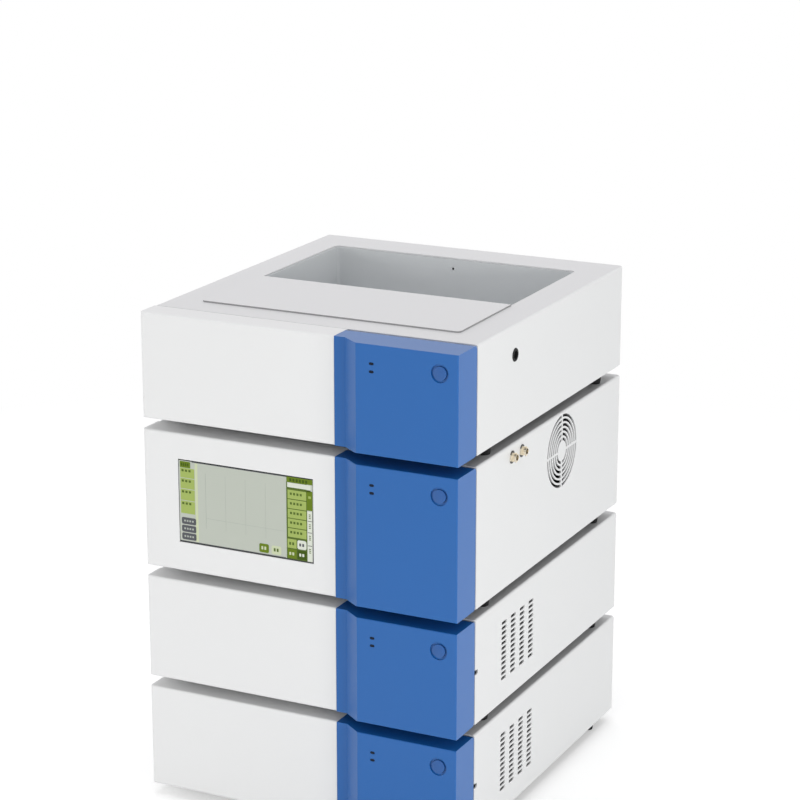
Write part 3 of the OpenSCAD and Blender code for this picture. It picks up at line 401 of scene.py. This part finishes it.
painted_casting = finish("painted casting", (0.075, 0.078, 0.085), 0.5, 240.0, 0.00006, drift=0.1)
blasted_aluminium = finish("blasted aluminium", (0.58, 0.59, 0.60), 0.5, 900.0, 0.00003,
                           metallic=1.0)
green_board = finish("green board", (0.02, 0.14, 0.055), 0.35, 300.0, 0.00001, drift=0.2)
supply_box = finish("supply box", (0.36, 0.37, 0.33), 0.45, 300.0, 0.00002)
dress(painted_casting, "lamp_housing", *[p + "_drive" for p in pumps])
dress(blasted_aluminium, "optical_bench")
dress(green_board, "power_switches", *[p + "_power_switch" for p in pumps])
dress(supply_box, "power_supplies")

# --- Rear screws ------------------------------------------------------------------------
# Pan-head screws with a cross recess hold each rear wall to its cover, three along the
# top and three along the bottom.


def pan_head(x, y, z, radius):
    """A screw head that faces +Y. From middle to rim the radius goes as the sine of a quarter
    turn and the height as its cosine to the power 0.7, less the depth of the cross."""
    rings, around = 14, 40
    dome, flatness = 0.55 * radius, 0.7
    arm, reach, cross_depth = 0.16 * radius, 0.62 * radius, 0.28 * radius
    into_wall = 0.0002
    t, a = np.meshgrid(np.linspace(0, 1, rings),
                       np.linspace(0, 2 * math.pi, around, endpoint=False), indexing="ij")
    r = radius * np.sin(t * math.pi / 2)
    height = dome * np.cos(t * math.pi / 2) ** flatness
    u, v = r * np.cos(a), r * np.sin(a)
    upright = (np.abs(u) < arm) & (np.abs(v) < reach)
    level = (np.abs(v) < arm) & (np.abs(u) < reach)
    height = height - np.where(upright | level, cross_depth, 0.0)
    cap = np.stack([x + u, y + height, z + v], -1).reshape(-1, 3)
    foot = np.stack([x + u[-1], np.full(around, y - into_wall), z + v[-1]], -1)
    verts = np.concatenate([cap, foot])
    quads = []
    for i in range(rings):
        j = np.arange(around)
        k = (j + 1) % around
        a0 = i * around
        quads.append(np.c_[a0 + j, a0 + around + j, a0 + around + k, a0 + k])
    return verts, np.concatenate(quads), [(rings * around + np.arange(around)[::-1]).tolist()]


def screw_set(places, name):
    """One mesh of screw heads, each at its place."""
    verts, faces = [], []
    start = 0
    for x, y, z, radius in places:
        v, q, caps = pan_head(x, y, z, radius)
        verts.append(v)
        faces += (q + start).tolist()
        faces += [[start + i for i in c] for c in caps]
        start += len(v)
    piece = new_piece(name, np.concatenate(verts), faces, [turned_steel])
    piece.data.polygons.foreach_set("use_smooth", [True] * len(faces))
    return piece


screw_inset, screw_r = 0.012, 0.0031
screw_places = []
for m in modules:
    low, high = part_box(m + "_chassis")
    for x in (low.x + screw_inset, (low.x + high.x) / 2, high.x - screw_inset):
        for z in (low.z + screw_inset, high.z - screw_inset):
            screw_places.append((x, high.y, z, screw_r))
rear_screws = screw_set(screw_places, "rear_screws")
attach(rear_screws, "stack")

# --- Head screws, jack posts and mains pins ----------------------------------------------------
# Each pump head is held by four socket-head screws in its wells. A data port's flange has
# two threaded hexagon posts, and a mains inlet has three flat plated pins.


def turned_set(name, rows, places, facing):
    """Screws or posts on one profile. A row is a radius, a height and 1 where it is a hexagon:
    a hexagon's edge lies at its corner radius times cos 30 over the cosine of the angle from
    the side's middle."""
    around = 36
    radius, height, hexed = np.array(rows).T
    a = np.linspace(0, 2 * math.pi, around, endpoint=False)
    six = math.cos(math.pi / 6) / np.cos(np.mod(a, math.pi / 3) - math.pi / 6)
    r = radius[:, None] * np.where(hexed[:, None] > 0, six, 1.0)
    shape = np.stack([r * np.cos(a), facing * height[:, None] + 0 * r, r * np.sin(a)], -1)
    shape = shape.reshape(-1, 3)
    j = np.arange(around)
    k = (j + 1) % around
    quads = np.concatenate([np.c_[i + j, i + around + j, i + around + k, i + k]
                            for i in around * np.arange(len(rows) - 1)])
    last = around * (len(rows) - 1)
    one = quads.tolist() + [j.tolist(), (last + j)[::-1].tolist()]
    if facing < 0:
        one = [face[::-1] for face in one]
    verts = (np.array(places)[:, None, :] + shape[None]).reshape(-1, 3)
    faces = [[n * len(shape) + v for v in face] for n in range(len(places)) for face in one]
    piece = new_piece(name, verts, faces, [turned_steel])
    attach(piece, "stack")


well_depth, well_circle, head_pitch = 0.008, 0.014 * math.sqrt(0.5), 0.076
head_screw = [(0.0026, -0.0002, 0), (0.0026, 0.0037, 0), (0.0023, 0.0040, 0),
              (0.00145, 0.0040, 1), (0.00145, 0.0020, 1)]
head_places = []
for p in pumps:
    low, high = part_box(p + "_heads")
    middle_x, middle_z = (low.x + high.x) / 2, (low.z + high.z) / 2
    head_places += [(middle_x + side * head_pitch / 2 + u * well_circle, low.y + well_depth,
                     middle_z + v * well_circle)
                    for side in (-1, 1) for u in (-1, 1) for v in (-1, 1)]
turned_set("head_screws", head_screw, head_places, -1)

socket_up = 0.030            # of ports and inlets, from the foot of their module's pan
post_side, post_seat, pin_root = 0.0125, 0.0010, 0.016
jack_post = [(0.0027, -0.0003, 1), (0.0027, 0.0050, 1), (0.0013, 0.0050, 0), (0.0013, 0.0012, 0)]
post_places, pin_places = [], []
port_low, port_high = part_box("data_ports")
inlet_low, inlet_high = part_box("mains_inlets")
port_x, inlet_x = (port_low.x + port_high.x) / 2, (inlet_low.x + inlet_high.x) / 2
for m in modules:
    low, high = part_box(m + "_chassis")
    for side in (-1, 1):
        post_places.append((port_x + side * post_side, high.y + post_seat, low.z + socket_up))
    for across, up in ((-0.007, -0.002), (0.007, -0.002), (0.0, 0.002)):
        pin_places.append((inlet_x + across, high.y - pin_root, low.z + socket_up + up))
turned_set("jack_posts", jack_post, post_places, 1)


def flat_pins(name, places, width, height, length):
    """Blades that face +Y: a rectangle carried along Y, drawn in by its tip's share at the end."""
    corner = np.array([(-0.5, -0.5), (0.5, -0.5), (0.5, 0.5), (-0.5, 0.5)]) * (width, height)
    into_base, tip_length, tip_share = 0.0003, 0.0010, 0.55
    rows = np.array([(1.0, -into_base), (1.0, length - tip_length), (tip_share, length)])
    shape = np.array([(f * x, y, f * z) for f, y in rows for x, z in corner])
    one = [(i + j, i + (j + 1) % 4, i + 4 + (j + 1) % 4, i + 4 + j)
           for i in (0, 4) for j in range(4)]
    one = [face[::-1] for face in one] + [(0, 1, 2, 3), (11, 10, 9, 8)]
    verts = (np.array(places)[:, None, :] + shape[None]).reshape(-1, 3)
    faces = [[n * len(shape) + v for v in face] for n in range(len(places)) for face in one]
    piece = new_piece(name, verts, faces, [turned_steel])
    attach(piece, "stack")


flat_pins("mains_pins", pin_places, width=0.002, height=0.004, length=0.014)

# --- Floor and light -----------------------------------------------------------------------
# A white bench under a white surround, with low soft lights around it and a large one
# above.

white = (1.0, 1.0, 1.0, 1.0)
floor_r = 6.0
floor_mesh = bpy.data.meshes.new("floor")
floor_mesh.from_pydata([(-floor_r, -floor_r, 0), (floor_r, -floor_r, 0), (floor_r, floor_r, 0),
                        (-floor_r, floor_r, 0)], [], [(0, 1, 2, 3)])
floor = bpy.data.objects.new("floor", floor_mesh)
bpy.context.scene.collection.objects.link(floor)


def white_floor():
    """Matt floor with the object's shadow near it, shown as plain white from further out."""
    shadow_to, plain_from, near_lift = 0.35, 1.5, 0.34
    mat = bpy.data.materials.new("white floor")
    mat.use_nodes = True
    tree = mat.node_tree
    shader = tree.nodes["Principled BSDF"]
    shader.inputs["Base Color"].default_value = (0.8, 0.8, 0.8, 1.0)
    shader.inputs["Roughness"].default_value = 0.9
    shader.inputs["Specular IOR Level"].default_value = 0.0
    path = add_node(tree, "ShaderNodeLightPath")
    seen = add_node(tree, "ShaderNodeMath",
                    {0: path.outputs["Is Camera Ray"], 1: path.outputs["Is Glossy Ray"]},
                    operation="MAXIMUM")
    where = add_node(tree, "ShaderNodeTexCoord")
    reach = add_node(tree, "ShaderNodeVectorMath", {0: where.outputs["Object"]},
                     operation="LENGTH")
    far = add_node(tree, "ShaderNodeMapRange",
                   {"Value": reach.outputs["Value"], "From Min": shadow_to, "From Max": plain_from})
    lift = add_node(tree, "ShaderNodeEmission", {"Color": white, "Strength": near_lift})
    plain = add_node(tree, "ShaderNodeEmission", {"Color": white, "Strength": 1.0})
    near_look = add_node(tree, "ShaderNodeAddShader", {0: shader.outputs[0], 1: lift.outputs[0]})
    look = add_node(tree, "ShaderNodeMixShader",
                    {0: far.outputs[0], 1: near_look.outputs[0], 2: plain.outputs[0]})
    both = add_node(tree, "ShaderNodeMixShader",
                    {0: seen.outputs[0], 1: shader.outputs[0], 2: look.outputs[0]})
    tree.links.new(both.outputs[0], tree.nodes["Material Output"].inputs["Surface"])
    return mat


floor_mesh.materials.append(white_floor())

world = bpy.data.worlds.new("surround")
bpy.context.scene.world = world
world.use_nodes = True
sky = world.node_tree
path = add_node(sky, "ShaderNodeLightPath")
eye = add_node(sky, "ShaderNodeMath",
               {0: path.outputs["Is Camera Ray"], 1: path.outputs["Is Glossy Ray"]},
               operation="MAXIMUM")
clear = add_node(sky, "ShaderNodeMath",
                 {0: eye.outputs[0], 1: path.outputs["Is Transmission Ray"]},
                 operation="MAXIMUM")
surround_fill, surround_seen = 0.55, 1.0
soft = add_node(sky, "ShaderNodeBackground", {"Color": white, "Strength": surround_fill})
bright = add_node(sky, "ShaderNodeBackground", {"Color": white, "Strength": surround_seen})
shown = add_node(sky, "ShaderNodeMixShader",
                 {0: clear.outputs[0], 1: soft.outputs[0], 2: bright.outputs[0]})
sky.links.new(shown.outputs[0], sky.nodes["World Output"].inputs["Surface"])


low_lamp_z = 1.0
stack_middle = (0.0, 0.0, 0.26)


def soft_box(name, place, aim, size, power, tint=(1.0, 1.0, 1.0)):
    """A square area lamp at a place, turned to face its aim. A low one leaves no highlight."""
    data = bpy.data.lights.new(name, "AREA")
    data.color = tint
    data.shape = "SQUARE"
    data.size = size
    data.energy = power
    lamp = bpy.data.objects.new(name, data)
    lamp.visible_camera = False
    lamp.visible_glossy = place[2] > low_lamp_z
    lamp.location = place
    away = np.array(place) - np.array(aim)
    flat = math.hypot(away[0], away[1])
    lamp.rotation_euler = (math.atan2(flat, away[2]), 0.0, math.atan2(away[0], -away[1]))
    bpy.context.scene.collection.objects.link(lamp)


soft_box("front light", (-1.9, -2.5, 0.62), stack_middle, 1.1, 25.5)
soft_box("right light", (2.2, -1.2, 0.42), stack_middle, 0.84, 28.2, (0.985, 1.0, 0.965))
soft_box("edge light", (1.3, 2.1, 0.36), (0.1, 0.0, 0.26), 0.7, 3.6, (0.85, 0.985, 1.0))
soft_box("left light", (-2.6, 0.9, 0.8), stack_middle, 1.1, 14.0)
soft_box("top light", (0.0, 0.3, 3.4), (0.0, 0.0, 0.3), 2.4, 34.5, (0.985, 0.97, 1.0))

# --- Camera -------------------------------------------------------------------------------
# A long lens that looks from the front and right, a little from above, so that the
# fronts, the right sides and the tray's well show.

sensor_mm, lens_mm = 36.0, 115.707
camera_data = bpy.data.cameras.new("camera")
camera_data.sensor_width = sensor_mm
camera_data.lens = lens_mm
camera = bpy.data.objects.new("camera", camera_data)
camera.location = (1.1614, -2.3297, 1.1520)
camera_down, camera_round = math.radians(15.981), math.radians(26.251)
camera.rotation_euler = (math.pi / 2 - camera_down, 0.0, camera_round)
bpy.context.scene.collection.objects.link(camera)
bpy.context.scene.camera = camera
bpy.context.scene.view_settings.view_transform = "Standard"
